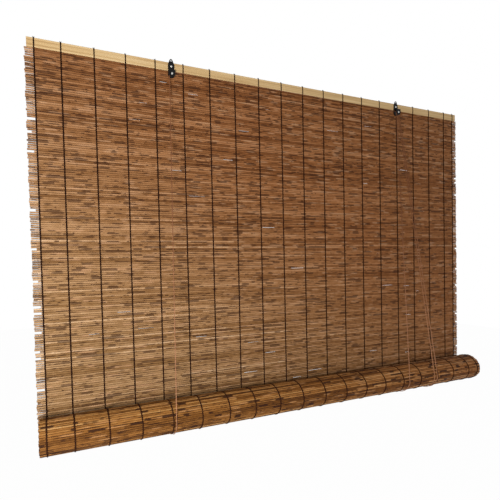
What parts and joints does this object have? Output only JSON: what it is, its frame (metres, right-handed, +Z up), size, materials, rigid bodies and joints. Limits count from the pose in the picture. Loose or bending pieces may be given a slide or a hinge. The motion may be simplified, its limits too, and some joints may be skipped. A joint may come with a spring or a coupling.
{
  "type": "reed roll-up blind",
  "caption": "Hanging reed mat on a pine batten, its lower part rolled up in cord slings that run over sheaves in black steel brackets.",
  "frame": {"origin": "midway between the two hanging holes in the bracket ears, on the brackets' back faces", "axes": "X along the batten to the right as seen from the room, Y from the room to the window, Z up"},
  "size_m": [2, 0.1386, 1.3453],
  "materials": {
    "reed": "dry brown reed, satin, with darker nodes and paler streaks",
    "pine": "planed pale pine, unvarnished",
    "string": "dark twisted binding string",
    "cord": "reddish brown twisted cord",
    "bracket_steel": "black enamelled sheet steel",
    "zinc": "zinc plated fastener",
    "sheave_plastic": "black moulded plastic"
  },
  "bodies": {
    "headrail": {"top_batten": "pine", "reed_mat": "reed", "mat_strings": "string", "batten_strings": "string", "left_bracket": "bracket_steel", "right_bracket": "bracket_steel", "bracket_screws": "zinc", "sheave_axles": "zinc", "screw_eyes": "zinc", "crossing_cord": "cord", "right_cord_over_sheave": "cord", "left_lift_cord_front": "cord", "right_lift_cord_front": "cord", "pull_cord_a_front": "cord", "pull_cord_b_front": "cord", "left_lift_cord_back": "cord", "right_lift_cord_back": "cord"},
    "left_sheave": {"left_sheave": "sheave_plastic"},
    "right_back_sheave": {"right_back_sheave": "sheave_plastic"},
    "right_front_sheave": {"right_front_sheave": "sheave_plastic"},
    "cord_slings": {"lift_cord_slings": "cord", "pull_cord_tails": "cord", "pull_cord_knot": "cord"},
    "roll": {"reed_roll": "reed", "bottom_batten": "pine"}
  },
  "joints": [
    {"name": "roll_lift", "type": "slide", "parent": "headrail", "child": "cord_slings", "axis": [0, 0, 1], "range_m": [0, 1.08573], "deforming": ["reed_mat", "mat_strings", "left_lift_cord_front", "right_lift_cord_front", "pull_cord_a_front", "pull_cord_b_front", "left_lift_cord_back", "right_lift_cord_back"]},
    {"name": "roll_turn", "type": "hinge", "parent": "cord_slings", "child": "roll", "pos_m": [0, -0.0536, -1.2755], "axis": [1, 0, 0], "range_deg": [-1080, 0]},
    {"name": "left_sheave_spin", "type": "hinge", "parent": "headrail", "child": "left_sheave", "pos_m": [-0.553, -0.0054, -0.05], "axis": [0, 1, 0], "continuous": true},
    {"name": "right_back_sheave_spin", "type": "hinge", "parent": "headrail", "child": "right_back_sheave", "pos_m": [0.553, -0.0054, -0.05], "axis": [0, 1, 0], "continuous": true},
    {"name": "right_front_sheave_spin", "type": "hinge", "parent": "headrail", "child": "right_front_sheave", "pos_m": [0.553, -0.0116, -0.05], "axis": [0, 1, 0], "continuous": true}
  ],
  "couplings": [
    {"joint": "roll_turn", "follows": "roll_lift", "rad_per_m": -17.361},
    {"joint": "left_sheave_spin", "follows": "roll_lift", "rad_per_m": 250},
    {"joint": "right_back_sheave_spin", "follows": "roll_lift", "rad_per_m": 250},
    {"joint": "right_front_sheave_spin", "follows": "roll_lift", "rad_per_m": 250}
  ]
}
